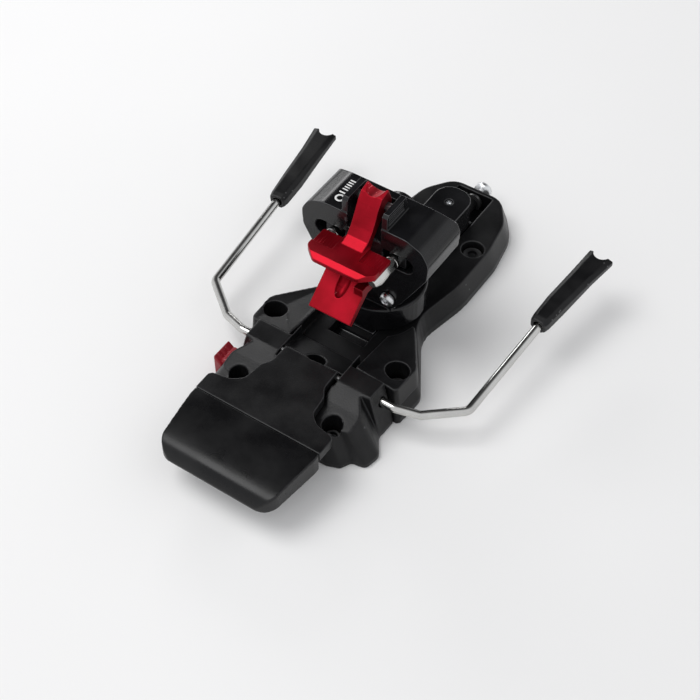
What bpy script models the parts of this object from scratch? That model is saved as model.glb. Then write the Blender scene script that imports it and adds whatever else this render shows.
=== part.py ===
"""Heel unit of a pin touring binding, with its ski brake.

The frame: Z is up from the ski's top sheet, which is the plane Z = 0. The toe of the ski is
toward -Y and its tail toward +Y. The origin is on the turret's vertical axis. The binding is
shown in touring mode: the turret's pins point to the toe, both heel risers are folded over
the front, and the brake is locked with its pedal down and its arms lifted.

All lengths below are in millimetres, and the helper functions turn them into metres.
"""

import math

import bmesh
import bpy
from mathutils import Matrix, Vector

MM = 0.001
GAP = 0.3                   # clearance between pieces that touch or slide
SIDES = (("left", -1), ("right", 1))

# Base plate and brake housing
BASE_TOP = 11.0
BASE_REAR = 68.5
EAR_TOP = 18.0
EAR_FRONT = -36.1
BASE_SCREWS_FRONT = (24.6, -28.1)
BASE_SCREWS_REAR = (14.2, 38.0)
BASE_HOLE_RADIUS = 4.1
SCREW_HEAD_BOTTOM = 5.5
HOUSING_TOP = 14.4
HOUSING_PEAK = 19.5
SHOULDER_TOP = 18.7
HOUSING_REAR = -36.4
BRAKE_SCREWS_FRONT = (18.7, -57.3)
BRAKE_SCREW_REAR = (0.0, -39.8)
BRAKE_HOLE_RADIUS = 3.4

# Length adjustment: the carriage slides in the base's T-slot
SLOT_HALF = 7.2
SLOT_FOOT_HALF = 9.4
SLOT_FLOOR = 3.0
SLOT_STEP = 6.4
DECK_REAR = -22.0            # the base's front deck covers the slot's foot up to here
CARRIAGE_FRONT = -23.0
CARRIAGE_NECK_FRONT = -15.6
CARRIAGE_REAR = 49.5
CARRIAGE_FORWARD = 6.0      # travel toward the toe
CARRIAGE_BACK = 12.5        # travel toward the tail
SLOT_REAR = CARRIAGE_REAR + CARRIAGE_BACK + 2.2
LENGTH_SCREW_HEIGHT = 7.2

# Turret, which turns about the Z axis on the carriage's post
FOOT_RADIUS = 16.0
FOOT_BOTTOM = 11.6
FOOT_TOP = 22.0
TOWER_FRONT = -11.5
TOWER_REAR = 8.4
TOWER_TOP = 63.4
BARREL_TOP = 57.4
CHANNEL_HALF = 6.5
CHANNEL_FLOOR = 51.5
CHANNEL_REAR = 2.6
RIB_HALF = 8.6              # outer faces of the two ribs beside the channel
POST_RADIUS = 7.0
TONGUE_TOP = 22.0
TONGUE_HALF = 7.0
TONGUE_FRONT = 17.0
TONGUE_REAR = 52.0
LATERAL_AXIS_HEIGHT = 16.0  # the lateral spring's axis
SET_SCREW_Y = 44.0
TURRET_SCREWS = (10.0, 27.5)  # X and Z

# Heel pins
PIN_X = 11.5
PIN_HEIGHT = 46.0
PIN_RADIUS = 2.4
PIN_TIP_Y = -24.0
PIN_LENGTH = 16.0
PIVOT_RADIUS = 1.5
PIN_PIVOT = (12.5, -7.0)
SPRING_AXIS_HEIGHT = 44.5

# Heel risers
UPPER_AXLE = (-4.0, 60.0)   # Y and Z
LOWER_AXLE = (-8.4, 38.6)   # Y and Z
UPPER_AXLE_RADIUS = 1.5
LOWER_AXLE_RADIUS = 1.2
PLATE_TOP = 51.2
PLATE_HALF = 13.0

# Brake
PEDAL_AXIS = (-42.3, 17.2)  # Y and Z
PEDAL_BOTTOM = 16.0
PEDAL_TOP = 19.6
CREASE_Y = -72.5
PEDAL_FRONT = -97.0
WIRE_AXIS = (-39.4, 12.6)   # Y and Z
WIRE_RADIUS = 1.55
TIP_START = (53.7, 13.2, 17.8)
TIP_END = (57.0, 50.2, 21.4)
BUTTON_AXIS = (-49.5, 8.0)  # Y and Z

LOOKS = {
    "nylon": ((0.012, 0.012, 0.013, 1.0), 0.0, 0.55),
    "black_anodised": ((0.010, 0.010, 0.011, 1.0), 0.7, 0.30),
    "red_anodised": ((0.55, 0.012, 0.035, 1.0), 0.8, 0.32),
    "red_nylon": ((0.45, 0.012, 0.03, 1.0), 0.0, 0.45),
    "steel": ((0.60, 0.60, 0.59, 1.0), 1.0, 0.25),
    "zinc": ((0.62, 0.63, 0.64, 1.0), 1.0, 0.35),
    "black_steel": ((0.03, 0.03, 0.032, 1.0), 0.9, 0.4),
}


# ---------------------------------------------------------------- scene and materials

def clear_scene():
    for thing in list(bpy.data.objects):
        bpy.data.objects.remove(thing, do_unlink=True)


def make_collection(name):
    collection = bpy.data.collections.new(name)
    bpy.context.scene.collection.children.link(collection)
    return collection


def make_material(name, look):
    """Each piece has a material of its own in one of the LOOKS."""
    colour, metallic, roughness = LOOKS[look]
    material = bpy.data.materials.new(name)
    material.use_nodes = True
    shader = material.node_tree.nodes["Principled BSDF"]
    shader.inputs["Base Color"].default_value = colour
    shader.inputs["Metallic"].default_value = metallic
    shader.inputs["Roughness"].default_value = roughness
    return material


def add_joint_empty(name, location):
    """An empty on a joint's axis, which the moving pieces hang from."""
    empty = bpy.data.objects.new(name, None)
    empty.location = [value * MM for value in location]
    PARTS.objects.link(empty)
    return empty


def finish_piece(piece, name, look, joint=None):
    """Name a finished piece, give it its material and hang it from its joint."""
    piece.name = name
    piece.data.name = name
    piece.data.materials.clear()
    piece.data.materials.append(make_material(name, look))
    piece.data.shade_smooth()
    piece.data.set_sharp_from_angle(angle=math.radians(35))
    if joint:
        piece.data.transform(Matrix.Translation(-joint.location))
        piece.parent = joint
    return piece


# ---------------------------------------------------------------- shapes

def to_object(shape):
    """Turn a bmesh in metres into an object of the parts collection."""
    bmesh.ops.recalc_face_normals(shape, faces=shape.faces)
    mesh = bpy.data.meshes.new("shape")
    shape.to_mesh(mesh)
    shape.free()
    item = bpy.data.objects.new("shape", mesh)
    PARTS.objects.link(item)
    return item


def bake(item):
    """Replace an object's mesh by what its modifiers make of it."""
    graph = bpy.context.evaluated_depsgraph_get()
    mesh = bpy.data.meshes.new_from_object(item.evaluated_get(graph))
    item.modifiers.clear()
    item.data = mesh
    return item


def combine(target, tool, operation):
    boolean = target.modifiers.new("combine", "BOOLEAN")
    boolean.operation = operation
    boolean.solver = "EXACT"
    boolean.object = tool
    bake(target)
    bpy.data.objects.remove(tool, do_unlink=True)
    return target


def cut(target, *tools):
    for tool in tools:
        combine(target, tool, "DIFFERENCE")
    return target


def join(target, *tools):
    for tool in tools:
        combine(target, tool, "UNION")
    return target


def bevel(item, width, segments=2, angle=40):
    """Round an object's sharp edges."""
    modifier = item.modifiers.new("bevel", "BEVEL")
    modifier.width = width * MM
    modifier.segments = segments
    modifier.limit_method = "ANGLE"
    modifier.angle_limit = math.radians(angle)
    return bake(item)


def box(low, high):
    shape = bmesh.new()
    bmesh.ops.create_cube(shape, size=MM)
    bmesh.ops.scale(shape, vec=[b - a for a, b in zip(low, high)], verts=shape.verts)
    centre = [(a + b) / 2 * MM for a, b in zip(low, high)]
    bmesh.ops.translate(shape, vec=centre, verts=shape.verts)
    return to_object(shape)


def rod(start, end, radius, end_radius=None, sides=28):
    """A cylinder or cone between two points."""
    start, end = Vector(start), Vector(end)
    shape = bmesh.new()
    turn = (end - start).to_track_quat("Z", "Y").to_matrix().to_4x4()
    place = Matrix.Translation((start + end) / 2 * MM) @ turn
    bmesh.ops.create_cone(
        shape, cap_ends=True, segments=sides, radius1=radius * MM,
        radius2=(radius if end_radius is None else end_radius) * MM,
        depth=(end - start).length * MM, matrix=place)
    return to_object(shape)


def curve_to_mesh(curve, weld=0.00001):
    """Make a curve object a mesh object, with its loose caps welded on."""
    item = bpy.data.objects.new("curve", curve)
    PARTS.objects.link(item)
    graph = bpy.context.evaluated_depsgraph_get()
    mesh = bpy.data.meshes.new_from_object(item.evaluated_get(graph))
    shape = bmesh.new()
    shape.from_mesh(mesh)
    bmesh.ops.remove_doubles(shape, verts=shape.verts, dist=weld)
    bpy.data.objects.remove(item, do_unlink=True)
    bpy.data.curves.remove(curve)
    return to_object(shape)


def slab(outline, low, high, plane="XY"):
    """A flat outline given thickness: along Z, along Y (plane XZ) or along X (plane YZ)."""
    curve = bpy.data.curves.new("outline", "CURVE")
    curve.dimensions = "2D"
    curve.fill_mode = "BOTH"
    curve.extrude = (high - low) / 2 * MM
    spline = curve.splines.new("POLY")
    spline.points.add(len(outline) - 1)
    for point, place in zip(spline.points, outline):
        point.co = (place[0] * MM, place[1] * MM, 0.0, 1.0)
    spline.use_cyclic_u = True
    item = curve_to_mesh(curve)
    middle = (low + high) / 2 * MM
    axes = {
        "XY": Matrix.Translation((0, 0, middle)),
        "XZ": Matrix(((1, 0, 0, 0), (0, 0, 1, middle), (0, 1, 0, 0), (0, 0, 0, 1))),
        "YZ": Matrix(((0, 0, 1, middle), (1, 0, 0, 0), (0, 1, 0, 0), (0, 0, 0, 1))),
    }
    item.data.transform(axes[plane])
    return facing_out(item)


def facing_out(item):
    shape = bmesh.new()
    shape.from_mesh(item.data)
    bmesh.ops.recalc_face_normals(shape, faces=shape.faces)
    shape.to_mesh(item.data)
    shape.free()
    return item


def loft(rings):
    """Join rings of points, which all have the same number of points, into one solid."""
    shape = bmesh.new()
    rows = [[shape.verts.new(Vector(point) * MM) for point in ring] for ring in rings]
    count = len(rows[0])
    for lower, upper in zip(rows, rows[1:]):
        for index in range(count):
            after = (index + 1) % count
            shape.faces.new((lower[index], lower[after], upper[after], upper[index]))
    shape.faces.new(rows[0])
    shape.faces.new(rows[-1])
    return to_object(shape)


def turned(profile, place, direction):
    """A turned piece: its profile holds (radius, height) from the top down, from axis to axis."""
    mesh = bpy.data.meshes.new("profile")
    points = [(radius * MM, 0.0, height * MM) for radius, height in profile]
    mesh.from_pydata(points, [(i, i + 1) for i in range(len(points) - 1)], [])
    item = bpy.data.objects.new("turned", mesh)
    PARTS.objects.link(item)
    screw = item.modifiers.new("turn", "SCREW")
    screw.steps = screw.render_steps = 20
    screw.use_merge_vertices = True
    screw.merge_threshold = 0.00001
    bake(item)
    turn = Vector(direction).to_track_quat("Z", "Y").to_matrix().to_4x4()
    item.data.transform(Matrix.Translation(Vector(place) * MM) @ turn)
    return item


def tube(points, radius, sides=3):
    """A round wire through points that already hold its bends."""
    curve = bpy.data.curves.new("wire", "CURVE")
    curve.dimensions = "3D"
    curve.bevel_depth = radius * MM
    curve.bevel_resolution = sides
    curve.use_fill_caps = True
    spline = curve.splines.new("POLY")
    spline.points.add(len(points) - 1)
    for point, place in zip(spline.points, points):
        point.co = (*(Vector(place) * MM), 1.0)
    return curve_to_mesh(curve)


def coil(start, end, radius, wire, turns, steps=12):
    """A helical spring between two points."""
    start, end = Vector(start), Vector(end)
    along = end - start
    side = along.orthogonal().normalized()
    other = along.normalized().cross(side)
    points = []
    for step in range(turns * steps + 1):
        angle = 2 * math.pi * step / steps
        arm = side * math.cos(angle) + other * math.sin(angle)
        points.append(start + along * step / (turns * steps) + arm * radius)
    return tube(points, wire, sides=2)


# ---------------------------------------------------------------- outlines

def rounded(corners, steps=4):
    """An outline whose corners (x, y, radius) are turned into arcs."""
    outline = []
    for index, (x, y, radius) in enumerate(corners):
        here = Vector((x, y))
        before = Vector(corners[index - 1][:2]) - here
        after = Vector(corners[(index + 1) % len(corners)][:2]) - here
        if radius <= 0:
            outline.append((x, y))
            continue
        half = before.angle(after) / 2
        reach = min(radius / math.tan(half), 0.48 * min(before.length, after.length))
        radius = reach * math.tan(half)
        first = here + before.normalized() * reach
        last = here + after.normalized() * reach
        centre = here + (before.normalized() + after.normalized()).normalized() * radius / math.sin(half)
        for step in range(steps + 1):
            share = step / steps
            chord = first.lerp(last, share) - centre
            outline.append(tuple(centre + chord.normalized() * radius))
    return outline


def both_sides(half):
    """A closed outline from its right half, whose corners may have a radius as third value."""
    mirrored = [(-corner[0], *corner[1:]) for corner in reversed(half)]
    return list(half) + mirrored


def stadium(radius, front, back, steps=16):
    """A long hole with round ends, along Y."""
    outline = []
    for centre, first in ((front, math.pi), (back, 0.0)):
        for step in range(steps + 1):
            angle = first + math.pi * step / steps
            outline.append((radius * math.cos(angle), centre + radius * math.sin(angle)))
    return outline


def bend_points(corners, radius, steps=5):
    """Points of a wire that runs straight between corners and bends round each of them."""
    corners = [Vector(corner) for corner in corners]
    points = [corners[0]]
    for before, here, after in zip(corners, corners[1:], corners[2:]):
        back, ahead = (before - here).normalized(), (after - here).normalized()
        half = back.angle(ahead) / 2
        reach = radius / math.tan(half)
        first, last = here + back * reach, here + ahead * reach
        centre = here + (back + ahead).normalized() * radius / math.sin(half)
        for step in range(steps + 1):
            chord = first.lerp(last, step / steps) - centre
            points.append(centre + chord.normalized() * radius)
    points.append(corners[-1])
    return points


# ---------------------------------------------------------------- base

def base_screw_places():
    for side, sign in SIDES:
        yield f"base_screw_front_{side}", sign * BASE_SCREWS_FRONT[0], BASE_SCREWS_FRONT[1]
        yield f"base_screw_rear_{side}", sign * BASE_SCREWS_REAR[0], BASE_SCREWS_REAR[1]


def brake_screw_places():
    for side, sign in SIDES:
        yield f"brake_screw_front_{side}", sign * BRAKE_SCREWS_FRONT[0], BRAKE_SCREWS_FRONT[1]
    yield "brake_screw_rear", *BRAKE_SCREW_REAR


def screw_hole(x, y, radius, top):
    """A counterbored through hole: the wide part for the head and the narrow one for the shank."""
    hole = rod((x, y, SCREW_HEAD_BOTTOM - GAP), (x, y, top), radius)
    return join(hole, rod((x, y, -5), (x, y, 8), 2.6))


def make_base_plate():
    """The long plate with its T-slot, its flared front ears and its round rear end."""
    lower = both_sides([
        (11, BASE_REAR, 8), (19.0, 58, 14), (21.8, 42, 30), (21.6, 20, 30),
        (17.4, -1, 14), (31.6, -24, 5), (30.6, EAR_FRONT, 1.5), (13, EAR_FRONT, 0),
        (13, -30, 0)])
    lower = rounded(lower)
    upper = [(x * (0.9 if y > 0 or abs(x) > 13.5 else 1.0), y if y < 0 else y * 0.96)
             for x, y in lower]
    plate = loft([[(x, y, 0) for x, y in lower], [(x, y, 3.0) for x, y in lower],
                  [(x, y, BASE_TOP) for x, y in upper]])
    for sign in (-1, 1):
        ear = rounded([(sign * x, y, r) for x, y, r in (
            (13.2, EAR_FRONT + 0.2, 0), (29.0, EAR_FRONT + 0.2, 1.5), (29.6, -24, 5), (16.2, -4, 8),
            (13.2, -12, 0))])
        low_ear = [(x * 1.03, y) for x, y in ear]
        inner = [(sign * max(abs(x), 13.2), y) for x, y in low_ear]
        top = [(x, y, EAR_TOP - 0.22 * max(0, y + 26) - 0.1 * (abs(x) - 13)) for x, y in ear]
        join(plate, loft([[(x, y, BASE_TOP - 3) for x, y in inner], top]))
    sweep = stadium(FOOT_RADIUS + 1.0, -CARRIAGE_FORWARD, CARRIAGE_BACK)
    cut(plate, slab(sweep, BASE_TOP, EAR_TOP + 5))
    front, rear = -40, SLOT_REAR
    cut(plate, box((-SLOT_HALF, DECK_REAR, SLOT_FLOOR), (SLOT_HALF, rear, BASE_TOP + 9)))
    cut(plate, box((-SLOT_FOOT_HALF, front, SLOT_FLOOR), (SLOT_FOOT_HALF, rear, SLOT_STEP)))
    axis = LENGTH_SCREW_HEIGHT
    cut(plate, rod((0, rear - 2, axis), (0, BASE_REAR + 5, axis), 2.5))
    for _, x, y in base_screw_places():
        cut(plate, screw_hole(x, y, BASE_HOLE_RADIUS, EAR_TOP + 5))
    finish_piece(plate, "base_plate", "nylon")


def make_brake_housing():
    """The brake's carrier: scalloped feet round its screws and two shoulders for the pedal."""
    foot = both_sides([
        (20, -63.5, 2), (24.6, -61.8, 1.5), (26.6, -58.0, 1.5), (31.6, -57.2, 2.5),
        (32.8, -51.2, 3), (28.4, -44.6, 4), (28.8, HOUSING_REAR, 0), (12.7, HOUSING_REAR, 0),
        (12.7, -30.4, 0.8)])
    outline = rounded(foot)
    top = [(x * (0.72 if y < -45 else 0.86) if abs(x) > 14 else x * 0.93,
            max(y, -61.4) if y < -50 else y) for x, y in outline]
    housing = loft([[(x, y, 0) for x, y in outline], [(x, y, 2.0) for x, y in outline],
                    [(x, y, HOUSING_PEAK) for x, y in top]])
    shoulders = [(-70, HOUSING_TOP), (-57.5, HOUSING_TOP), (-51, 16.2), (-44, SHOULDER_TOP),
                 (-29, SHOULDER_TOP), (-29, 30), (-70, 30)]
    cut(housing, slab(shoulders, -40, 40, plane="YZ"))
    cut(housing, box((-10.9, -70, PEDAL_BOTTOM - 2.2), (10.9, PEDAL_AXIS[0] - 2.0, 30)))
    trough = [(-46, 17.2), (PEDAL_AXIS[0] + 2.2, 17.2), (-36, 15.4), (-29, 12.4), (-29, 30),
              (-46, 30)]
    cut(housing, slab(trough, -11.6, 11.6, plane="YZ"))
    cut(housing, rod((-10.9, *PEDAL_AXIS), (10.9, *PEDAL_AXIS), 2.1))
    cut(housing, slab(pedal_wing(0.5), PEDAL_BOTTOM - 0.5, 30))
    for sign in (-1, 1):
        low, high = sorted((sign * 6.2, sign * 10.4))
        cut(housing, box((low, -54.5, -1), (high, -41.8, 30)))
        cut(housing, box((low, -54.5, -1), (high, -36.8, 15.0)))
        axle_end = (sign * 13.6, *PEDAL_AXIS)
        cut(housing, rod((0, *PEDAL_AXIS), axle_end, 1.2))
        cut(housing, rod((sign * 9, *WIRE_AXIS), (sign * 40, *WIRE_AXIS), WIRE_RADIUS + GAP))
        cut(housing, rod((sign * 9, *WIRE_AXIS), (sign * 11.6, *WIRE_AXIS), WIRE_RADIUS + 3 * GAP))
    cut(housing, box((-40, -53.4, 4.2), (-16.2, -45.6, 11.6)))
    cut(housing, box((-40, -54.4, 2.2), (-24.4, -45.0, 12.4)))
    for _, x, y in brake_screw_places():
        cut(housing, screw_hole(x, y, BRAKE_HOLE_RADIUS, SHOULDER_TOP + 5))
    finish_piece(housing, "brake_housing", "nylon")


def pedal_wing(growth=0.0):
    """Outline of the pedal's wing, with a concave bay round each front screw."""
    half = [(10.2, -42.0, 0), (10.4, -49.5, 4), (12.6, -53.0, 3), (13.4, -60.4, 3), (17.0, -63.2, 3),
            (24.4, -64.6, 2), (24.2, CREASE_Y + GAP, 0)]
    half = [(x + growth, y, radius) for x, y, radius in half]
    return rounded(both_sides(half))


def make_fixing_screws():
    """Countersunk ski screws, which end at the mounting plane."""
    for name, x, y in (*base_screw_places(), *brake_screw_places()):
        head = 3.8 if name.startswith("base") else 3.0
        profile = [(0, 2.0), (1.5, 2.0), (1.7, 3.0), (head - 0.6, 3.0), (head, 2.4), (head, 1.6),
                   (2.2, 0), (2.2, GAP - SCREW_HEAD_BOTTOM), (0, GAP - SCREW_HEAD_BOTTOM)]
        screw = turned(profile, (x, y, SCREW_HEAD_BOTTOM), (0, 0, 1))
        finish_piece(screw, name, "black_steel")


# ---------------------------------------------------------------- carriage

def make_carriage(joint):
    """The slider with the turret's post and the lateral spring's housing."""
    floor = SLOT_FLOOR + GAP
    foot = box((-SLOT_FOOT_HALF + GAP, CARRIAGE_FRONT, floor),
               (SLOT_FOOT_HALF - GAP, CARRIAGE_REAR, SLOT_STEP - GAP))
    join(foot, box((-SLOT_HALF + GAP, CARRIAGE_NECK_FRONT, floor),
                   (SLOT_HALF - GAP, CARRIAGE_REAR, BASE_TOP + GAP)))
    join(foot, rod((0, 0, 8), (0, 0, 15.2), POST_RADIUS))
    tongue = rounded([(-TONGUE_HALF, TONGUE_FRONT, 0), (TONGUE_HALF, TONGUE_FRONT, 0),
                      (TONGUE_HALF, TONGUE_REAR, 6), (-TONGUE_HALF, TONGUE_REAR, 6)])
    housing = slab(tongue, BASE_TOP + GAP / 2, TONGUE_TOP)
    join(foot, bevel(housing, 2.0, segments=1, angle=60))
    axis = LATERAL_AXIS_HEIGHT
    cut(foot, rod((0, TONGUE_FRONT - 5, axis), (0, TONGUE_REAR + 5, axis), 4.0))
    axis = LENGTH_SCREW_HEIGHT
    cut(foot, rod((0, 14, axis), (0, CARRIAGE_REAR + 2, axis), 2.4))
    cut(foot, rod((0, 0, 5), (0, 0, 30), 2.3))
    cut(foot, rod((0, SET_SCREW_Y, 20.0), (0, SET_SCREW_Y, 25), 1.5))
    finish_piece(foot, "carriage", "black_anodised", joint)

    disc = cut(rod((0, 0, 15.5), (0, 0, 17.5), 10.3, sides=40), rod((0, 0, 14), (0, 0, 20), 2.4))
    finish_piece(disc, "post_retaining_disc", "zinc", joint)
    screw = turned([(0, 19.2), (1.6, 19.2), (1.9, 20.0), (4.0, 20.0), (4.0, 17.8), (2.0, 17.8),
                    (2.0, 6.0), (0, 6.0)], (0, 0, 0), (0, 0, 1))
    finish_piece(screw, "post_screw", "zinc", joint)

    axis = LATERAL_AXIS_HEIGHT
    plunger = rod((0, 16.9, axis), (0, 23.5, axis), 3.6)
    finish_piece(bevel(plunger, 0.8), "lateral_plunger", "steel", joint)
    spring = coil((0, 24.6, axis), (0, 41.6, axis), 2.8, 0.6, 7)
    finish_piece(spring, "lateral_spring", "steel", joint)
    plug = rod((0, 42.8, axis), (0, 50.6, axis), 3.7)
    cut(plug, box((-3, 49.6, axis - 0.5), (3, 52, axis + 0.5)))
    finish_piece(plug, "lateral_adjust_screw", "zinc", joint)
    dot = turned([(0, 21.0), (0.6, 21.0), (0.7, 21.6), (1.2, 21.6), (1.2, 20.3), (0, 20.3)],
                 (0, SET_SCREW_Y, 0), (0, 0, 1))
    finish_piece(dot, "tongue_set_screw", "zinc", joint)


def make_length_screw(joint):
    """The screw that moves the carriage, held axially in the base's rear wall by a clip."""
    rear = SLOT_REAR
    head = BASE_REAR + GAP
    screw = turned([(0, head + 2.4), (2.9, head + 2.4), (3.3, head + 2.0), (3.3, head),
                    (2.0, head), (2.0, rear - 0.8), (1.2, rear - 0.8), (1.2, rear - 2.0),
                    (2.0, rear - 2.0), (2.0, 34.0), (1.4, 33.0), (0, 33.0)],
                   (0, 0, LENGTH_SCREW_HEIGHT), (0, 1, 0))
    height = LENGTH_SCREW_HEIGHT
    cut(screw, box((-4, head + 1.4, height - 0.5), (4, head + 4, height + 0.5)))
    finish_piece(screw, "length_adjust_screw", "zinc", joint)
    ring = rod((0, rear - 1.8, height), (0, rear - 1.0, height), 3.4)
    cut(ring, rod((0, rear - 4, height), (0, rear + 1, height), 1.5),
        box((-1.5, rear - 4, height - 6), (1.5, rear + 1, height)))
    finish_piece(ring, "length_screw_clip", "black_steel", joint)


# ---------------------------------------------------------------- turret

def make_turret_housing(joint):
    """Two barrels over a narrower waist, with a channel between two ribs on top of them."""
    section = rounded(both_sides([
        (11.0, 18.5, 0), (11.0, 22.4, 1.5), (14.6, 27, 4), (20.6, 37.5, 6), (24.0, 43.6, 4),
        (24.5, 50.2, 5), (21.8, 55.0, 5), (15.8, BARREL_TOP, 6)]))
    tower = slab(section, TOWER_FRONT, TOWER_REAR, plane="XZ")
    bevel(tower, 1.5, segments=2, angle=60)
    slope = [(5.0, BARREL_TOP + 0.8), (10, BARREL_TOP + 0.8), (10, 50.5)]
    cut(tower, slab(slope, -30, 30, plane="YZ"))
    rib = [(-11.2, 50), (-11.2, 62.4), (-10.2, TOWER_TOP), (0, TOWER_TOP), (1.6, 56), (1.6, 50)]
    join(tower, slab(rib, -RIB_HALF, RIB_HALF, plane="YZ"))
    foot = rod((0, 0, FOOT_BOTTOM), (0, 0, FOOT_TOP), FOOT_RADIUS, sides=48)
    join(tower, bevel(foot, 0.8, angle=60))
    boss_end = TOWER_REAR + 4.5
    axis = SPRING_AXIS_HEIGHT
    join(tower, rod((0, TOWER_REAR - 4, axis), (0, boss_end, axis), 6.4))
    cut(tower, box((-CHANNEL_HALF, -20, CHANNEL_FLOOR), (CHANNEL_HALF, CHANNEL_REAR, TOWER_TOP + 5)))
    cut(tower, box((RIB_HALF - 0.35, -10.4, 58.8), (RIB_HALF + 1, -0.8, 62.6)))
    cut(tower, rod((0, 0, 5), (0, 0, 20.6), 11.2, sides=40))
    cut(tower, rod((0, -0.8, axis), (0, boss_end + 2, axis), 4.6))
    for sign in (-1, 1):
        window = rounded([(sign * x, PIN_HEIGHT + z, r) for x, z, r in (
            (7.3, -3.2, 0), (19.0, -3.2, 3), (19.0, 3.2, 3), (7.3, 3.2, 0))])
        cut(tower, slab(window, TOWER_FRONT - 2, 4.8, plane="XZ"))
        low, high = sorted((sign * 2.0, sign * 9.0))
        cut(tower, box((low, -0.6, PIN_HEIGHT - 2.6), (high, 4.6, PIN_HEIGHT + 2.2)))
        x, y = sign * PIN_PIVOT[0], PIN_PIVOT[1]
        cut(tower, rod((x, y, 40.3), (x, y, 54.6), PIVOT_RADIUS + GAP))
        x, z = sign * TURRET_SCREWS[0], TURRET_SCREWS[1]
        cut(tower, rod((x, TOWER_FRONT - 3, z), (x, -7.6, z), 1.8))
    cut(tower, rod((-15, *UPPER_AXLE), (7.7, *UPPER_AXLE), UPPER_AXLE_RADIUS + GAP))
    cut(tower, box((-8.3, TOWER_FRONT - 2, 35.2), (8.3, -5.6, 42.2)))
    cut(tower, rod((-10.9, *LOWER_AXLE), (10.9, *LOWER_AXLE), LOWER_AXLE_RADIUS + GAP))
    finish_piece(tower, "turret_housing", "black_anodised", joint)


def make_turret_internals(joint):
    plate = cut(rod((0, 0, 12.0), (0, 0, 14.9), 10.9, sides=40),
                rod((0, 0, 10), (0, 0, 20), POST_RADIUS + GAP, sides=40))
    finish_piece(plate, "turret_bottom_plate", "zinc", joint)
    axis = SPRING_AXIS_HEIGHT
    finish_piece(coil((0, 6.0, axis), (0, 8.4, axis), 3.2, 0.5, 2), "release_spring", "steel", joint)
    plug = rod((0, 9.6, axis), (0, 13.0, axis), 4.3)
    cut(plug, box((-3.4, 12.0, axis - 0.5), (3.4, 15, axis + 0.5)))
    finish_piece(plug, "release_adjust_screw", "zinc", joint)
    upper = rod((-8.4, *UPPER_AXLE), (7.4, *UPPER_AXLE), UPPER_AXLE_RADIUS)
    finish_piece(upper, "upper_riser_axle", "steel", joint)
    lower = rod((-10.6, *LOWER_AXLE), (10.6, *LOWER_AXLE), LOWER_AXLE_RADIUS)
    finish_piece(lower, "lower_riser_axle", "steel", joint)
    for side, sign in SIDES:
        x, y = sign * PIN_PIVOT[0], PIN_PIVOT[1]
        pivot = rod((x, y, 40.6), (x, y, 54.2), PIVOT_RADIUS)
        finish_piece(pivot, f"pin_pivot_{side}", "steel", joint)
        screw = turned([(0, 1.0), (1.0, 1.0), (1.2, 1.8), (2.2, 1.8), (2.6, 1.4), (2.6, 0),
                        (1.5, 0), (1.5, -3.2), (0, -3.2)],
                       (sign * TURRET_SCREWS[0], TOWER_FRONT - GAP, TURRET_SCREWS[1]), (0, -1, 0))
        finish_piece(screw, f"turret_screw_{side}", "zinc", joint)


def make_release_plunger(joint):
    """The cone that the two pins' heels squeeze back against the release spring."""
    plunger = rod((0, 4.0, SPRING_AXIS_HEIGHT), (0, -0.2, SPRING_AXIS_HEIGHT), 3.5, 2.1)
    finish_piece(plunger, "release_plunger", "steel", joint)


def make_heel_pin(side, sign, joint):
    """A round pin with a conical tip, on a lever that turns on its pivot and bears on the plunger."""
    length = PIN_LENGTH
    pin = turned([(0, length), (0.8, length), (PIN_RADIUS, length - 2.8), (PIN_RADIUS, 0), (0, 0)],
                 (sign * PIN_X, PIN_TIP_Y + length, PIN_HEIGHT), (0, -1, 0))
    low, high = sorted((sign * 9.0, sign * 15.6))
    eye = box((low, -10.4, PIN_HEIGHT - 2.8), (high, 4.0, PIN_HEIGHT + 2.8))
    join(pin, bevel(eye, 0.5))
    low, high = sorted((sign * 4.7, sign * 10.0))
    join(pin, box((low, 1.4, PIN_HEIGHT - 2.2), (high, 3.6, PIN_HEIGHT + 1.8)))
    x, y = sign * PIN_PIVOT[0], PIN_PIVOT[1]
    cut(pin, rod((x, y, 38), (x, y, 55), PIVOT_RADIUS + GAP))
    finish_piece(pin, f"heel_pin_{side}", "steel", joint)


# ---------------------------------------------------------------- risers

def make_upper_riser(joint):
    """The high riser: a T-shaped plate on a curved lever, which ends in a notched finger grip."""
    plate = rounded(both_sides([(PLATE_HALF, -15.0, 0.8), (PLATE_HALF, -24.6, 2),
                                (8.6, -28.4, 2.5)]))
    bottom = PLATE_TOP - 2.5
    riser = slab(plate, bottom, PLATE_TOP)
    edge = [(-31, PLATE_TOP + 1), (-26.4, PLATE_TOP + 1), (-26.4, PLATE_TOP),
            (-28.8, PLATE_TOP - 1.3), (-31, PLATE_TOP - 1.3)]
    cut(riser, slab(edge, -20, 20, plane="YZ"))
    for sign in (-1, 1):
        low, high = sorted((sign * 5.0, sign * 14.0))
        cut(riser, box((low, -22.2, PLATE_TOP - 1.1), (high, -14, PLATE_TOP + 2)))
    lever = [(-22.0, PLATE_TOP), (-18.6, PLATE_TOP), (-15.2, 52.6), (-12.8, 55.4), (-10.9, 59.0),
             (-9.2, 62.8), (-7.2, 65.6), (-3.4, 66.6), (-1.6, 62.0), (-1.4, 58.6), (-3.6, 57.2),
             (-6.6, 57.6), (-9.4, 54.6), (-12.2, 51.6), (-13.4, bottom), (-22.0, bottom)]
    join(riser, slab(lever, -4.0, 4.0, plane="YZ"))
    cut(riser, rod((0, -14.5, 70.2), (0, 4, 66.4), 3.6))
    cut(riser, rod((-10, *UPPER_AXLE), (10, *UPPER_AXLE), UPPER_AXLE_RADIUS + GAP))
    finish_piece(riser, "upper_riser", "red_anodised", joint)


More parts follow.
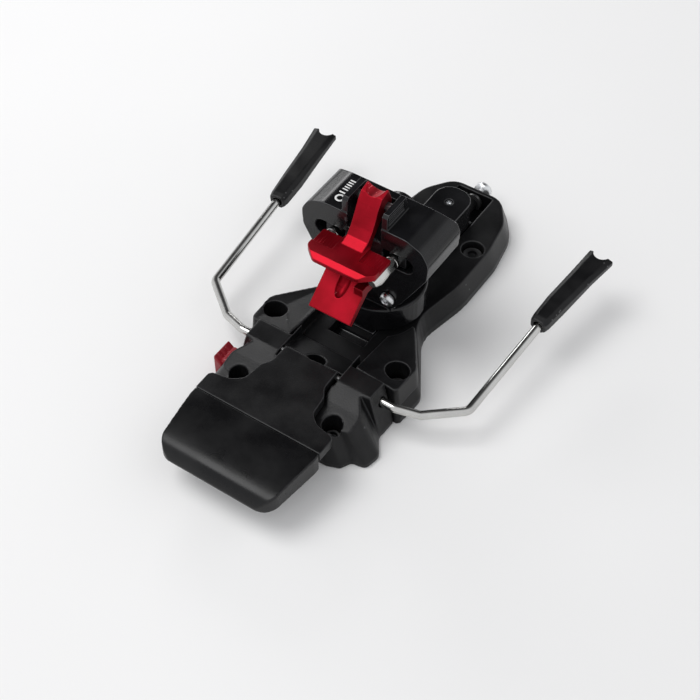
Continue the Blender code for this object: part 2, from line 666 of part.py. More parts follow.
def make_lower_riser(joint):
    """The low riser: a flap between the pins, bent down from a short arm on its axle."""
    y, z = LOWER_AXLE
    profile = [(y + 2.0, z - 1.0), (y + 2.0, z + 1.3), (y - 1.0, z + 1.9), (-21.4, 40.4),
               (-31.8, 31.4), (-30.4, 29.4), (-21.0, 37.2), (y - 1.0, z - 2.2)]
    riser = slab(profile, -8.0, 8.0, plane="YZ")
    bevel(riser, 0.4, segments=1)
    scoop = rod((0, -30.0, 41.0), (0, -22.5, 37.8), 2.0, 3.2)
    cut(riser, scoop)
    cut(riser, rod((-10, *LOWER_AXLE), (10, *LOWER_AXLE), LOWER_AXLE_RADIUS + GAP))
    finish_piece(riser, "lower_riser", "red_anodised", joint)


# ---------------------------------------------------------------- brake

def make_pedal(joint):
    """The pedal: a wing that hinges between the housing's shoulders, and the pad before it."""
    arm = slab(pedal_wing(), PEDAL_BOTTOM, PEDAL_TOP)
    join(arm, rod((-10.0, *PEDAL_AXIS), (10.0, *PEDAL_AXIS), 1.7))
    step, below = PEDAL_BOTTOM - GAP, PEDAL_BOTTOM - 3.4
    tongue = [(-90, below), (-90, step), (CREASE_Y + 1, step), (CREASE_Y + 1, PEDAL_TOP - 1),
              (CREASE_Y + 4, PEDAL_TOP - 1), (CREASE_Y + 4, below)]
    join(arm, slab(tongue, -17, 17, plane="YZ"))
    cut(arm, rod((-12, *PEDAL_AXIS), (12, *PEDAL_AXIS), 0.9 + GAP))
    notch = rod((BRAKE_SCREW_REAR[0], BRAKE_SCREW_REAR[1], 10),
                (BRAKE_SCREW_REAR[0], BRAKE_SCREW_REAR[1], 25), 2.4)
    cut(arm, notch)
    finish_piece(arm, "pedal_arm", "nylon", joint)

    outline = rounded(both_sides([(24.2, CREASE_Y, 0), (21.8, PEDAL_FRONT, 5)]))
    rings = []
    for height, inset in ((12.0, 2.5), (PEDAL_BOTTOM, 0.0), (PEDAL_BOTTOM + 1.6, 0.0)):
        rings.append([(x * (1 - inset / 25), y + inset * (y < CREASE_Y - 4), height)
                      for x, y in outline])
    rings.append([(x * 0.97, y + 1.0 * (y < CREASE_Y - 4), PEDAL_TOP - 0.10 * (CREASE_Y - y))
                  for x, y in outline])
    pad = loft(rings)
    cut(pad, box((-17 - GAP, -90 - GAP, 5), (17 + GAP, CREASE_Y + 4, PEDAL_BOTTOM)))
    finish_piece(pad, "pedal_pad", "nylon", joint)
    for side, sign in SIDES:
        pin = rod((sign * 5.0, *PEDAL_AXIS), (sign * 13.2, *PEDAL_AXIS), 0.9, sides=16)
        finish_piece(pin, f"pedal_pin_{side}", "steel", joint)


def make_brake_arm(side, sign, joint):
    y, z = WIRE_AXIS
    start, end = Vector(TIP_START), Vector(TIP_END)
    inside = start + (end - start).normalized() * 9.0
    corners = [(8.3, y - 9.5, z - 7.2), (8.3, y, z), (30.5, y, z), (39.0, -36.6, 11.8),
               (51.4, -27.2, 13.0), tuple(inside)]
    corners = [(sign * corner[0], *corner[1:]) for corner in corners]
    wire = tube(bend_points(corners, 3.2), WIRE_RADIUS)
    finish_piece(wire, f"brake_wire_{side}", "steel", joint)

    along = (end - start).normalized()
    across = Vector((1, 0, 0)) - along * along.x
    up = across.cross(along) * -1
    rings = []
    for share, half_width, half_height, shift in (
            (0.0, 2.9, 2.7, 0.0), (0.06, 3.3, 3.1, 0.0), (0.3, 3.8, 3.0, 0.0),
            (0.7, 4.1, 2.2, 0.4), (1.0, 4.7, 1.6, 0.9)):
        centre = start.lerp(end, share)
        ring = []
        for corner_x, corner_z in ((-1, -0.6), (-0.6, -1), (0.6, -1), (1, -0.6),
                                   (1, 0.5), (0.5, 1), (-0.5, 1), (-1, 0.5)):
            ring.append(centre + across * (corner_x * half_width + shift)
                        + up * corner_z * half_height)
        rings.append([(sign * point.x, point.y, point.z) for point in ring])
    tip = loft(rings)
    notch_start = Vector((sign * (end.x + 0.6), end.y - 4.5, end.z - 10))
    notch_end = notch_start + Vector((0, 0, 20))
    cut(tip, rod(notch_start + Vector((0, 5.2, 0)), notch_end + Vector((0, 5.2, 0)), 3.0))
    bore_end = start + along * 9.6
    bore_start = start - along * 2.0
    cut(tip, rod((sign * bore_start.x, bore_start.y, bore_start.z),
                 (sign * bore_end.x, bore_end.y, bore_end.z), WIRE_RADIUS + GAP))
    finish_piece(tip, f"brake_tip_{side}", "nylon", joint)


def make_release_button(joint):
    """The side button that unlocks the brake, and the spring in its blind bore."""
    button = box((-29.2, -53.0, 4.6), (-21.5, -46.0, 11.2))
    bevel(button, 0.7)
    head = slab([(-31.8, 2.6), (-28.4, 2.6), (-28.4, 8.8), (-31.8, 12.0)], -54.0, -45.4, plane="XZ")
    join(button, bevel(head, 0.4, segments=1))
    cut(button, rod((-29.6, *BUTTON_AXIS), (-20, *BUTTON_AXIS), 2.3))
    finish_piece(button, "release_button", "red_nylon", joint)
    spring = coil((-16.9, *BUTTON_AXIS), (-25.6, *BUTTON_AXIS), 1.5, 0.35, 6)
    finish_piece(spring, "button_spring", "steel")


# ---------------------------------------------------------------- assembly

def build():
    make_base_plate()
    make_brake_housing()
    make_fixing_screws()
    make_carriage(add_joint_empty("carriage_slide", (0, 0, 0)))
    make_length_screw(add_joint_empty("length_screw_axis", (0, BASE_REAR, LENGTH_SCREW_HEIGHT)))
    turret = add_joint_empty("turret_axis", (0, 0, 0))
    make_turret_housing(turret)
    make_turret_internals(turret)
    make_release_plunger(add_joint_empty("plunger_slide", (0, 2, SPRING_AXIS_HEIGHT)))
    make_upper_riser(add_joint_empty("upper_riser_axis", (0, *UPPER_AXLE)))
    make_lower_riser(add_joint_empty("lower_riser_axis", (0, *LOWER_AXLE)))
    make_pedal(add_joint_empty("pedal_axis", (0, *PEDAL_AXIS)))
    make_release_button(add_joint_empty("button_slide", (-27, *BUTTON_AXIS)))
    for side, sign in SIDES:
        pivot = (sign * PIN_PIVOT[0], PIN_PIVOT[1], PIN_HEIGHT)
        make_heel_pin(side, sign, add_joint_empty(f"pin_axis_{side}", pivot))
        make_brake_arm(side, sign, add_joint_empty(f"arm_axis_{side}", (0, *WIRE_AXIS)))


clear_scene()
PARTS = make_collection("touring_binding")
build()
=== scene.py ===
"""Looks of the touring binding's heel unit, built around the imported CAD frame.

Lengths are in millimetres and the helpers turn them into metres. The frame is the CAD's: Z is up
from the ski's top sheet, the toe is toward -Y, and the origin is on the turret's axis.
"""

import math

import bmesh
import bpy
from mathutils import Matrix, Vector


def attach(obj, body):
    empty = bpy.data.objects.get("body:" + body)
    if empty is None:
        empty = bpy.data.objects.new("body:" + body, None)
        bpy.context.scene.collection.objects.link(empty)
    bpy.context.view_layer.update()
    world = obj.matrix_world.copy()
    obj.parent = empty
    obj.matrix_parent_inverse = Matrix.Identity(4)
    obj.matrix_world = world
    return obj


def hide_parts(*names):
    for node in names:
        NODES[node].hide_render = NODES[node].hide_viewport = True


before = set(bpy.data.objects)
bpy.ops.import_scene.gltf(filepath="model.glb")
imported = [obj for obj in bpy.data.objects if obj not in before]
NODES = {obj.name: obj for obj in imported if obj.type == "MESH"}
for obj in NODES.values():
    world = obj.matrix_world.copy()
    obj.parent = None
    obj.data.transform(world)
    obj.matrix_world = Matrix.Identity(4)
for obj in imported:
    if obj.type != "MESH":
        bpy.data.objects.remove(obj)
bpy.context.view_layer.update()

MM = 0.001
SIDES = (("left", -1), ("right", 1))

# Camera and light
CAMERA_PLACE = (0.17926, -0.28571, 0.37888)
CAMERA_RIGHT = (0.82958, 0.55838, 0.0)
CAMERA_UP = (-0.42504, 0.63151, 0.64849)
LENS = 73.97
DARK_FLAG = (-0.362, 0.538, 0.761)      # where a black flag keeps the studio out of flat tops
FLOOR_REACH = 3.0

# Edge softening: how finely a piece is rebuilt
FINE = 0.16
MEDIUM = 0.2

# Sizes that are the CAD's too
BARREL_TOP = 57.4
PIN_X = 11.5
PIN_HEIGHT = 46.0
PIN_ROOT_Y = -8.0
LOWER_AXLE = (-8.4, 38.6)               # Y and Z
LOWER_AXLE_HOLE = 1.5
PAD_TOP = 19.6
PAD_BOTTOM = 12.0
PAD_CREASE = -72.5
PAD_FRONT = -97.0
PAD_CORNER = 7.0
WIRE_RADIUS = 1.55
WIRE_BEND = 3.2
WIRE_CORNERS = [(8.3, -48.9, 5.4), (8.3, -39.4, 12.6), (30.5, -39.4, 12.6), (39.0, -36.6, 11.8),
                (51.4, -27.2, 13.0)]
TIP_START = (53.7, 13.2, 17.8)
TIP_END = (57.0, 50.2, 21.4)
TURRET_SCREW = (10, -11.8, 27.5)
LENGTH_SCREW_NECK = 67.6                # Y where the screw's bright head begins


# ---------------------------------------------------------------- camera, light and floor

def make_camera():
    """The main view, from the right of the toe and from about 50 degrees up."""
    right, up = Vector(CAMERA_RIGHT), Vector(CAMERA_UP)
    back = right.cross(up)
    data = bpy.data.cameras.new("camera")
    data.lens = LENS
    data.sensor_width = 36.0
    data.clip_start = 0.01
    camera = bpy.data.objects.new("camera", data)
    turn = Matrix((right, up, back)).transposed().to_4x4()
    camera.matrix_world = Matrix.Translation(CAMERA_PLACE) @ turn
    bpy.context.scene.collection.objects.link(camera)
    bpy.context.scene.camera = camera


def add_softbox(name, place, target, size, power):
    data = bpy.data.lights.new(name, "AREA")
    data.shape = "RECTANGLE"
    data.size, data.size_y = size
    data.energy = power
    light = bpy.data.objects.new(name, data)
    place, target = Vector(place), Vector(target)
    light.location = place
    light.rotation_euler = (target - place).to_track_quat("-Z", "Y").to_euler()
    bpy.context.scene.collection.objects.link(light)


def make_studio():
    """A bright room with a black flag in it, two softboxes and a pale floor."""
    scene = bpy.context.scene
    scene.view_settings.view_transform = "Standard"
    world = bpy.data.worlds.new("studio")
    world.use_nodes = True
    tree = world.node_tree
    background = tree.nodes["Background"]
    towards = tree.nodes.new("ShaderNodeVectorMath")
    towards.operation = "DOT_PRODUCT"
    towards.inputs[1].default_value = DARK_FLAG
    tree.links.new(tree.nodes.new("ShaderNodeTexCoord").outputs["Generated"], towards.inputs[0])
    flag = remap(tree, towards.outputs["Value"], 0.62, 0.93)
    walls = mix_colour(tree, flag, (0.97, 0.98, 1.0), (0.045, 0.045, 0.047))
    tree.links.new(walls, background.inputs["Color"])
    background.inputs["Strength"].default_value = 0.88
    scene.world = world
    add_softbox("key", (-0.36, -0.26, 0.90), (0, 0, 0.02), (0.55, 0.55), 4.6)
    add_softbox("rim", (-0.60, 0.55, 0.35), (0, 0, 0.04), (0.4, 0.2), 1.2)

    mesh = bpy.data.meshes.new("floor")
    corners = [(-1, -1), (1, -1), (1, 1), (-1, 1)]
    mesh.from_pydata([(x * FLOOR_REACH, y * FLOOR_REACH, -0.00005) for x, y in corners], [],
                     [(0, 1, 2, 3)])
    floor = bpy.data.objects.new("floor", mesh)
    scene.collection.objects.link(floor)
    floor.data.materials.append(make_floor_material())


# ---------------------------------------------------------------- materials

def new_material(name):
    material = bpy.data.materials.new(name)
    material.use_nodes = True
    return material, material.node_tree, material.node_tree.nodes["Principled BSDF"]


def node(tree, kind, **values):
    """A shader node with its properties and inputs set. Underscores stand for spaces in names."""
    item = tree.nodes.new(kind)
    for key, value in values.items():
        if hasattr(item, key):
            setattr(item, key, value)
        else:
            item.inputs[key.replace("_", " ")].default_value = value
    return item


def noise(tree, coords, scale, detail=3.0, rough=0.55):
    item = node(tree, "ShaderNodeTexNoise", Scale=scale, Detail=detail, Roughness=rough)
    tree.links.new(coords, item.inputs["Vector"])
    return item.outputs["Fac"]


def remap(tree, value, low, high, to_low=0.0, to_high=1.0):
    item = tree.nodes.new("ShaderNodeMapRange")
    for place, number in enumerate((low, high, to_low, to_high), start=1):
        item.inputs[place].default_value = number
    tree.links.new(value, item.inputs[0])
    return item.outputs[0]


def mix_colour(tree, share, first, second):
    item = tree.nodes.new("ShaderNodeMix")
    item.data_type = "RGBA"
    tree.links.new(share, item.inputs[0])
    for place, value in ((6, first), (7, second)):
        if hasattr(value, "links"):
            tree.links.new(value, item.inputs[place])
        else:
            item.inputs[place].default_value = (*value, 1.0)
    return item.outputs[2]


def product(tree, first, second):
    item = tree.nodes.new("ShaderNodeMath")
    item.operation = "MULTIPLY"
    tree.links.new(first, item.inputs[0])
    tree.links.new(second, item.inputs[1])
    return item.outputs[0]


def surface(name, dark, light, edge, rough, metallic=0.0, mottle=90.0, grain=2600.0,
            bump=0.12, edge_from=0.53, edge_to=0.62, specular=0.5):
    """A finish with cloudy colour and roughness, a fine grain, and paler edges that are partly wear
    and partly a painted highlight.

    rough holds the lowest and highest roughness.
    """
    material, tree, shader = new_material(name)
    coords = tree.nodes.new("ShaderNodeTexCoord").outputs["Object"]
    cloud = noise(tree, coords, mottle)
    fine = noise(tree, coords, grain, detail=2.0)
    colour = mix_colour(tree, remap(tree, cloud, 0.35, 0.65), dark, light)
    speckled = mix_colour(tree, remap(tree, fine, 0.45, 0.75, 0.0, 0.35), colour, light)
    # Convex edges are mixed toward the edge colour: partly edge wear, partly a painted highlight
    # where chamfers and rims would catch the light.
    pointiness = tree.nodes.new("ShaderNodeNewGeometry").outputs["Pointiness"]
    wear_and_highlight = remap(tree, pointiness, edge_from, edge_to)
    wear_and_highlight = product(tree, wear_and_highlight, remap(tree, cloud, 0.3, 0.6, 0.55, 1.0))
    tree.links.new(mix_colour(tree, wear_and_highlight, speckled, edge), shader.inputs["Base Color"])
    tree.links.new(remap(tree, cloud, 0.3, 0.7, *rough), shader.inputs["Roughness"])
    shader.inputs["Metallic"].default_value = metallic
    shader.inputs["Specular IOR Level"].default_value = specular
    bumped = node(tree, "ShaderNodeBump", Strength=bump, Distance=0.00015)
    tree.links.new(fine, bumped.inputs["Height"])
    tree.links.new(bumped.outputs["Normal"], shader.inputs["Normal"])
    return material


def make_floor_material():
    material, tree, shader = new_material("floor_white")
    coords = tree.nodes.new("ShaderNodeTexCoord").outputs["Object"]
    cloud = noise(tree, coords, 6.0)
    colour = mix_colour(tree, cloud, (0.84, 0.835, 0.83), (0.88, 0.875, 0.87))
    tree.links.new(colour, shader.inputs["Base Color"])
    shader.inputs["Roughness"].default_value = 0.6
    shader.inputs["Specular IOR Level"].default_value = 0.2
    return material


def make_materials():
    """The looks by name: dark and light colours, an edge colour that is partly wear and partly a
    painted edge highlight, then the roughness range.
    """
    return {
        "nylon": surface("nylon_grain", (0.003, 0.003, 0.0035), (0.0085, 0.0085, 0.009),
                         (0.085, 0.085, 0.088), (0.31, 0.42), grain=2000.0, bump=0.34,
                         edge_from=0.515, edge_to=0.60, specular=0.24),
        "nylon_pad": surface("nylon_pad", (0.0025, 0.0025, 0.003), (0.007, 0.007, 0.0075),
                             (0.06, 0.06, 0.063), (0.24, 0.34), grain=1800.0, bump=0.14,
                             edge_from=0.515, edge_to=0.60, specular=0.26),
        "black_anodised": surface("anodised_black", (0.0035, 0.0035, 0.004), (0.007, 0.007, 0.008),
                                  (0.24, 0.24, 0.25), (0.16, 0.26), grain=5200.0, bump=0.05,
                                  edge_from=0.53, edge_to=0.61, specular=0.36),
        "red_anodised": surface("anodised_red", (0.25, 0.002, 0.008), (0.37, 0.004, 0.015),
                                (0.78, 0.14, 0.16), (0.34, 0.44), metallic=0.8, grain=3600.0,
                                bump=0.18, specular=0.3),
        "red_nylon": surface("nylon_red", (0.22, 0.006, 0.013), (0.30, 0.010, 0.020),
                             (0.62, 0.12, 0.14), (0.36, 0.48), grain=2400.0, bump=0.12),
        "steel": surface("steel_polished", (0.55, 0.545, 0.53), (0.64, 0.635, 0.62),
                         (0.80, 0.80, 0.78), (0.14, 0.24), metallic=1.0, grain=5200.0, bump=0.03),
        "wire": surface("steel_wire", (0.50, 0.495, 0.48), (0.60, 0.595, 0.58),
                        (0.60, 0.60, 0.58), (0.16, 0.22), metallic=1.0, grain=5200.0, bump=0.02,
                        edge_from=0.8, edge_to=0.9),
        "white_fill": surface("white_fill", (0.70, 0.70, 0.69), (0.80, 0.80, 0.79),
                              (0.80, 0.80, 0.79), (0.5, 0.6), grain=2600.0, bump=0.05),
        "zinc": surface("zinc_plated", (0.56, 0.57, 0.58), (0.68, 0.69, 0.70),
                        (0.82, 0.83, 0.84), (0.22, 0.34), metallic=1.0, grain=3600.0, bump=0.05),
        "black_steel": surface("steel_black", (0.02, 0.02, 0.021), (0.035, 0.035, 0.037),
                               (0.18, 0.18, 0.18), (0.28, 0.4), metallic=0.8, grain=3600.0,
                               bump=0.06),
    }


# ---------------------------------------------------------------- shapes

def new_object(name, mesh):
    item = bpy.data.objects.new(name, mesh)
    bpy.context.scene.collection.objects.link(item)
    return item


def bake(item):
    """Replace an object's mesh by what its modifiers make of it."""
    graph = bpy.context.evaluated_depsgraph_get()
    mesh = bpy.data.meshes.new_from_object(item.evaluated_get(graph))
    item.modifiers.clear()
    item.data = mesh
    return item


def soften(item, voxel, rounds):
    """Rebuild a solid as a fine even mesh whose edges are slightly rounded."""
    remesh = item.modifiers.new("even", "REMESH")
    remesh.mode = "VOXEL"
    remesh.voxel_size = voxel * MM
    smooth = item.modifiers.new("round", "SMOOTH")
    smooth.factor = 0.5
    smooth.iterations = rounds
    return bake(item)


def copy_of(name, source):
    """A new piece that starts from the shape of a CAD node."""
    shape = bmesh.new()
    shape.from_mesh(NODES[source].data)
    bmesh.ops.remove_doubles(shape, verts=shape.verts, dist=0.000001)
    mesh = bpy.data.meshes.new(name)
    shape.to_mesh(mesh)
    shape.free()
    return new_object(name, mesh)


def finish(item, body, look, slot, *replaced):
    """Give a piece its look, its body and the CAD nodes it stands for. The slot argument is not
    used.
    """
    item.data.name = item.name
    item.data.materials.clear()
    item.data.materials.append(LOOKS[look])
    item.data.shade_smooth()
    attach(item, body)
    if replaced:
        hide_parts(*replaced)
    return item


def box(low, high):
    shape = bmesh.new()
    bmesh.ops.create_cube(shape, size=MM)
    bmesh.ops.scale(shape, vec=[b - a for a, b in zip(low, high)], verts=shape.verts)
    centre = [(a + b) / 2 * MM for a, b in zip(low, high)]
    bmesh.ops.translate(shape, vec=centre, verts=shape.verts)
    return to_object("box", shape)


def rod(start, end, radius):
    """A cylinder between two points."""
    start, end = Vector(start), Vector(end)
    shape = bmesh.new()
    turn = (end - start).to_track_quat("Z", "Y").to_matrix().to_4x4()
    bmesh.ops.create_cone(
        shape, cap_ends=True, segments=48, radius1=radius * MM, radius2=radius * MM,
        depth=(end - start).length * MM, matrix=Matrix.Translation((start + end) / 2 * MM) @ turn)
    return to_object("rod", shape)


def ellipsoid(centre, radii, tilt):
    """An ellipsoid that is tilted about the X axis."""
    shape = bmesh.new()
    bmesh.ops.create_icosphere(shape, subdivisions=4, radius=1.0)
    place = Matrix.Translation(Vector(centre) * MM) @ Matrix.Rotation(tilt, 4, "X")
    bmesh.ops.transform(shape, verts=shape.verts,
                        matrix=place @ Matrix.Diagonal((*(r * MM for r in radii), 1)))
    return to_object("ellipsoid", shape)


def to_object(name, shape):
    bmesh.ops.recalc_face_normals(shape, faces=shape.faces)
    mesh = bpy.data.meshes.new(name)
    shape.to_mesh(mesh)
    shape.free()
    return new_object(name, mesh)


def slab(outline, low, high, plane="XY"):
    """A flat outline given thickness: along Z, along Y (plane XZ) or along X (plane YZ)."""
    order = {"XY": (0, 1, 2), "XZ": (0, 2, 1), "YZ": (1, 2, 0)}[plane]
    shape = bmesh.new()
    rings = []
    for level in (low, high):
        ring = []
        for first, second in outline:
            place = [0.0, 0.0, 0.0]
            for axis, value in zip(order, (first, second, level)):
                place[axis] = value * MM
            ring.append(shape.verts.new(place))
        rings.append(ring)
    for index in range(len(outline)):
        after = (index + 1) % len(outline)
        shape.faces.new((rings[0][index], rings[0][after], rings[1][after], rings[1][index]))
    shape.faces.new(rings[0])
    shape.faces.new(rings[1])
    return to_object("slab", shape)


def combine(target, tool, operation):
    boolean = target.modifiers.new("combine", "BOOLEAN")
    boolean.operation = operation
    boolean.solver = "EXACT"
    boolean.object = tool
    bake(target)
    bpy.data.objects.remove(tool, do_unlink=True)
    return target


def cut(target, *tools):
    for tool in tools:
        combine(target, tool, "DIFFERENCE")
    return target


def join(target, *tools):
    for tool in tools:
        combine(target, tool, "UNION")
    return target


def turned(name, profile, place, direction):
    """A turned piece: its profile holds (radius, height) from the top down, from axis to axis."""
    shape = bmesh.new()
    points = [shape.verts.new((radius * MM, 0, height * MM)) for radius, height in profile]
    edges = [shape.edges.new(pair) for pair in zip(points, points[1:])]
    bmesh.ops.spin(shape, geom=points + edges, cent=(0, 0, 0), axis=(0, 0, 1),
                   angle=2 * math.pi, steps=64, use_duplicate=False)
    bmesh.ops.remove_doubles(shape, verts=shape.verts, dist=0.000002)
    turn = Vector(direction).to_track_quat("Z", "Y").to_matrix().to_4x4()
    shape.transform(Matrix.Translation(Vector(place) * MM) @ turn)
    return to_object(name, shape)


def bend_points(corners, radius, steps=14):
    """Points of a wire that runs straight between corners and bends round each of them."""
    corners = [Vector(corner) for corner in corners]
    points = [corners[0]]
    for before, here, after in zip(corners, corners[1:], corners[2:]):
        back, ahead = (before - here).normalized(), (after - here).normalized()
        half = back.angle(ahead) / 2
        reach = radius / math.tan(half)
        first, last = here + back * reach, here + ahead * reach
        centre = here + (back + ahead).normalized() * radius / math.sin(half)
        for step in range(steps + 1):
            chord = first.lerp(last, step / steps) - centre
            points.append(centre + chord.normalized() * radius)
    points.append(corners[-1])
    return points


def tube(name, points, radius):
    """A round wire through points that already hold its bends."""
    curve = bpy.data.curves.new(name, "CURVE")
    curve.dimensions = "3D"
    curve.bevel_depth = radius * MM
    curve.bevel_resolution = 8
    curve.use_fill_caps = True
    spline = curve.splines.new("POLY")
    spline.points.add(len(points) - 1)
    for point, place in zip(spline.points, points):
        point.co = (*(Vector(place) * MM), 1.0)
    return bake_curve(name, curve)


def bake_curve(name, curve):
    """A mesh piece from a curve, with its caps welded on."""
    source = new_object("curve", curve)
    graph = bpy.context.evaluated_depsgraph_get()
    mesh = bpy.data.meshes.new_from_object(source.evaluated_get(graph))
    bpy.data.objects.remove(source, do_unlink=True)
    shape = bmesh.new()
    shape.from_mesh(mesh)
    bmesh.ops.remove_doubles(shape, verts=shape.verts, dist=0.000002)
    return to_object(name, shape)


def rename(item, name):
    item.name = name
    return item


# ---------------------------------------------------------------- pieces

def soft_copies():
    """Moulded pieces whose CAD shape is right: the same shape, with rounded edges."""
    for source, body, voxel, rounds, look, slot in (
            ("base_plate", "base", 0.30, 4, "nylon", "nylon"),
            ("brake_housing", "base", 0.30, 9, "nylon", "nylon"),
            ("carriage", "carriage", 0.26, 2, "black_anodised", "black_anodised"),
            ("pedal_arm", "pedal", 0.26, 4, "nylon", "nylon")):
        item = soften(copy_of(f"{source}_detail", source), voxel, rounds)
        finish(item, body, look, slot, source)


def make_turret():
    """The machined housing, with fine lines in the right rib's recess."""
    item = copy_of("turret_housing_detail", "turret_housing")
    for height in (59.7, 60.7, 61.7):
        join(item, box((8.1, -10.0, height - 0.16), (8.5, -1.2, height + 0.16)))
    soften(item, MEDIUM, 2)
    finish(item, "turret", "black_anodised", "black_anodised", "turret_housing")


def make_marks():
    """Generic marks on the left barrel: a ring and a row of index ticks, filled with white."""
    low, high = BARREL_TOP - 0.3, BARREL_TOP + 0.04
    x, y = -12.4, -6.8
    ring = cut(rod((x, y, low), (x, y, high), 1.7),
               rod((x, y, BARREL_TOP - 1), (x, y, BARREL_TOP + 1), 1.0))
    marks = [ring, box((-14.3, -4.5, low), (-10.2, -3.9, high))]
    for index in range(5):
        length = 1.9 if index % 2 else 3.5
        y = -2.8 + index * 1.15
        marks.append(box((-14.1, y, low), (-14.1 + length, y + 0.5, high)))
    item = rename(marks[0], "turret_marks")
    join(item, *marks[1:])
    finish(item, "turret", "white_fill", "zinc")


def make_upper_riser():
    """The red high riser: bead-blasted, with machined pockets and a notched finger grip."""
    item = copy_of("upper_riser_detail", "upper_riser")
    cut(item, ellipsoid((0, -11.3, 62.6), (2.6, 1.9, 4.6), math.radians(-26)))
    for sign in (-1, 1):
        for index in range(7):
            x = sign * (5.9 + index * 1.0)
            cut(item, box((x - 0.12, -21.9, 49.9), (x + 0.12, -14.8, 50.6)))
    soften(item, FINE, 2)
    finish(item, "upper_riser", "red_anodised", "red_anodised", "upper_riser")


def make_lower_riser():
    """The red low riser: a bent flap with a thumb scoop and a small ear."""
    y, z = LOWER_AXLE
    profile = [(y + 2.0, z - 1.0), (y + 2.0, z + 1.3), (y - 1.0, z + 1.9), (-21.4, 40.4),
               (-31.8, 31.4), (-30.4, 29.4), (-21.0, 37.2), (y - 1.0, z - 2.2)]
    item = rename(slab(profile, -8.0, 8.0, plane="YZ"), "lower_riser_detail")
    tilt = math.atan2(9.0, 10.4)
    cut(item, ellipsoid((0, -24.2, 39.2), (2.3, 5.0, 2.6), tilt),
        rod((0, -19.0, 42.2), (0, -24.5, 38.4), 2.2))
    ear = box((4.6, -24.2, 37.0), (8.0, -21.2, 40.9))
    join(item, ear)
    cut(item, rod((-10, y, z), (10, y, z), LOWER_AXLE_HOLE))
    soften(item, FINE, 2)
    finish(item, "lower_riser", "red_anodised", "red_anodised", "lower_riser")


def make_pins():
    """Polished pins with conical tips, on dark levers inside the barrels."""
    for side, sign in SIDES:
        body = f"heel_pin_{side}"
        profile = [(0, 16.0), (1.25, 16.0), (1.5, 15.85), (2.3, 13.7), (2.4, 13.3), (2.4, 5.2),
                   (2.25, 5.1), (2.25, 4.7), (2.4, 4.6), (2.4, 0), (0, 0)]
        x = sign * PIN_X
        pin = turned(f"pin_{side}", profile, (x, PIN_ROOT_Y, PIN_HEIGHT), (0, -1, 0))
        finish(pin, body, "steel", "steel")
        pin.data.set_sharp_from_angle(angle=math.radians(30))
        lever = copy_of(f"pin_lever_{side}", body)
        cut(lever, box((x - 6, -30, PIN_HEIGHT - 6), (x + 6, -10.42, PIN_HEIGHT + 6)))
        soften(lever, FINE, 2)
        finish(lever, body, "black_steel", "steel", body)


def make_pad():
    """The pedal's smooth front pad, crowned toward a soft rounded nose."""
    crease, front, top = PAD_CREASE, PAD_FRONT, PAD_TOP
    profile = [(crease, PAD_BOTTOM), (crease, top)]
    for step in range(1, 33):
        reach = 1 - (1 - step / 32) ** 1.7
        profile.append((crease + (front - crease) * reach,
                        top - 1.5 * reach ** 2 - 4.6 * reach ** 16))
    profile += [(-96.7, 12.6), (-95.6, PAD_BOTTOM)]
    item = rename(slab(profile, -30, 30, plane="YZ"), "pedal_pad_detail")
    plan = [(24.2, crease), (24.2, -75)]
    centre_x, centre_y = 22.3 - PAD_CORNER, front + PAD_CORNER
    for step in range(9):
        angle = math.radians(80 * step / 8)
        plan.append((centre_x + PAD_CORNER * math.cos(angle),
                     centre_y - PAD_CORNER * math.sin(angle)))
    plan += [(-x, y) for x, y in reversed(plan)]
    combine(item, slab(plan, 5, 30), "INTERSECT")
    cut(item, box((-17.3, -90.3, 5), (17.3, crease + 4, 16)))
    soften(item, 0.28, 12)
    finish(item, "pedal", "nylon_pad", "nylon", "pedal_pad")


def make_button():
    """The red push lever, with three moulded ribs where a thumb presses."""
    item = copy_of("release_button_detail", "release_button")
    for y in (-52.2, -50.1, -48.0):
        rib = [(-31.3, 10.6), (-31.3, 11.75), (-28.9, 9.5), (-28.9, 8.6)]
        join(item, slab(rib, y, y + 0.9, plane="XZ"))
    soften(item, FINE, 2)
    finish(item, "release_button", "red_nylon", "red_nylon", "release_button")


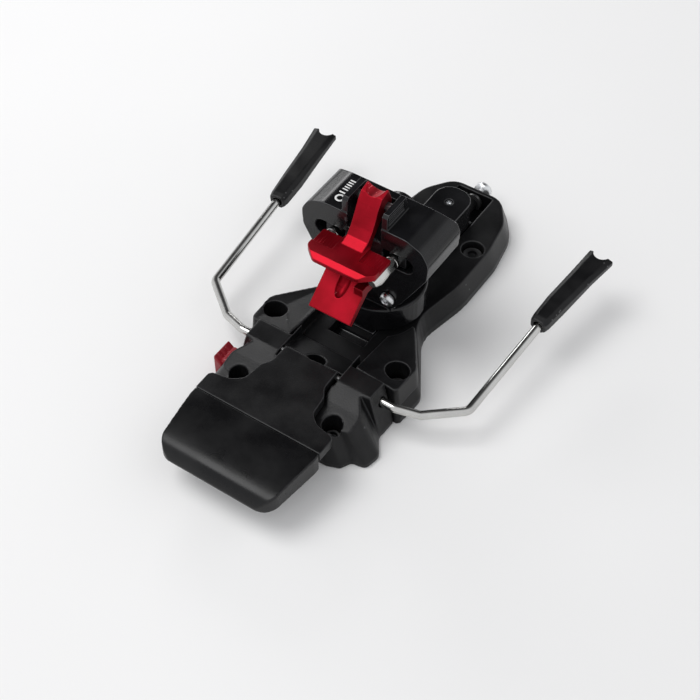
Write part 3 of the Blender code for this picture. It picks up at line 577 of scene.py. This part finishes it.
def make_arms():
    """Bent steel wires with moulded sleeves, which have a ridge and a notched end."""
    for side, sign in SIDES:
        start, end = Vector(TIP_START), Vector(TIP_END)
        inside = start + (end - start).normalized() * 9.0
        corners = [(sign * x, y, z) for x, y, z in (*WIRE_CORNERS, tuple(inside))]
        body = f"brake_arm_{side}"
        wire = tube(f"brake_wire_{side}_detail", bend_points(corners, WIRE_BEND), WIRE_RADIUS)
        finish(wire, body, "wire", "steel", f"brake_wire_{side}")
        wire.data.set_sharp_from_angle(angle=math.radians(60))
        tip = soften(copy_of(f"brake_tip_{side}_detail", f"brake_tip_{side}"), MEDIUM, 5)
        finish(tip, body, "nylon", "nylon", f"brake_tip_{side}")


def make_screws():
    """Round turret screws with a socket, and the length screw's dark shank and bright head."""
    for side, sign in SIDES:
        place = (sign * TURRET_SCREW[0], *TURRET_SCREW[1:])
        head = turned(f"turret_screw_{side}_detail", [
            (0, 0.9), (1.1, 0.9), (1.15, 1.75), (1.3, 1.9), (1.9, 1.75), (2.35, 1.35), (2.58, 0.8),
            (2.6, 0.0), (1.5, 0.0), (1.5, -3.2), (0, -3.2)], place, (0, -1, 0))
        finish(head, "turret", "zinc", "zinc", f"turret_screw_{side}")
        head.data.set_sharp_from_angle(angle=math.radians(50))
    shank = copy_of("length_screw_shank", "length_adjust_screw")
    cut(shank, box((-5, LENGTH_SCREW_NECK, 2), (5, 75, 13)))
    finish(shank, "length_screw", "black_steel", "steel", "length_adjust_screw")
    head = copy_of("length_screw_head", "length_adjust_screw")
    cut(head, box((-5, 20, 2), (5, LENGTH_SCREW_NECK + 0.05, 13)))
    finish(head, "length_screw", "zinc", "zinc")


def dress_cad_nodes():
    """Looks for the carried-over CAD nodes, by what their names say."""
    for name, item in NODES.items():
        look = "zinc"
        if any(word in name for word in ("screw_front", "screw_rear", "clip", "axle", "pedal_pin")):
            look = "black_steel"
        elif any(word in name for word in ("spring", "pivot", "plunger", "pin", "wire")):
            look = "steel"
        item.data.materials.clear()
        item.data.materials.append(LOOKS[look])


make_camera()
make_studio()
LOOKS = make_materials()
dress_cad_nodes()
soft_copies()
make_turret()
make_marks()
make_upper_riser()
make_lower_riser()
make_pins()
make_pad()
make_button()
make_arms()
make_screws()
